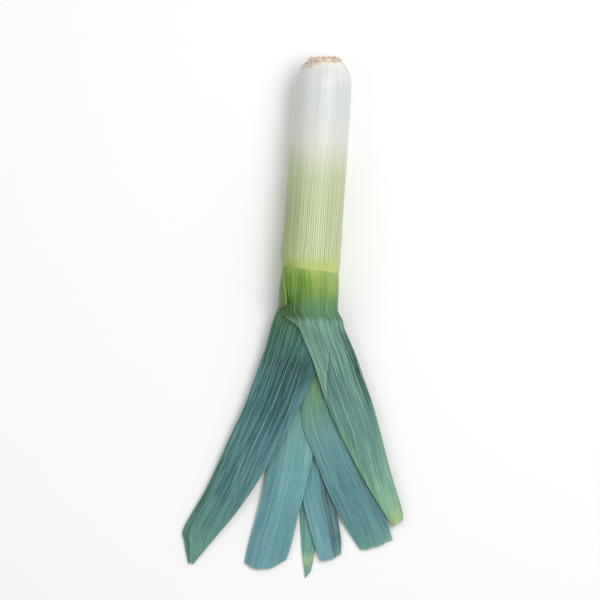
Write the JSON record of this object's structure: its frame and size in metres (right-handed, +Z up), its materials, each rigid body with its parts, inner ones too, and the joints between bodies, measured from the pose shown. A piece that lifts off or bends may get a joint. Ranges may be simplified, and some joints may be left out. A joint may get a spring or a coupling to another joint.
{
  "type": "leek",
  "caption": "Trimmed leek lying on its side: white shaft with cropped roots, torn sheath mouth and a flat fan of cut blue-green leaves.",
  "frame": {"origin": "on the surface that the leek lies on, under the middle of its bounds", "axes": "+Y towards the root end, +X to the right seen from above with the roots at the top, +Z up off the surface"},
  "size_m": [0.1418, 0.335, 0.0377],
  "materials": {
    "roots": "dry, fibrous, matte",
    "pale_sheath": "smooth moist vegetable skin, satin",
    "outer_leaf": "waxy leaf, satin",
    "inner_leaf": "waxy leaf with a pale bloom, matte"
  },
  "bodies": {
    "root": {"root_plate": "roots", "outer_sheath": "pale_sheath", "right_outer_leaf": "outer_leaf", "left_outer_leaf": "outer_leaf", "right_inner_leaf": "inner_leaf", "left_inner_leaf": "inner_leaf", "centre_leaf": "inner_leaf", "heart_leaf": "inner_leaf"}
  },
  "joints": []
}
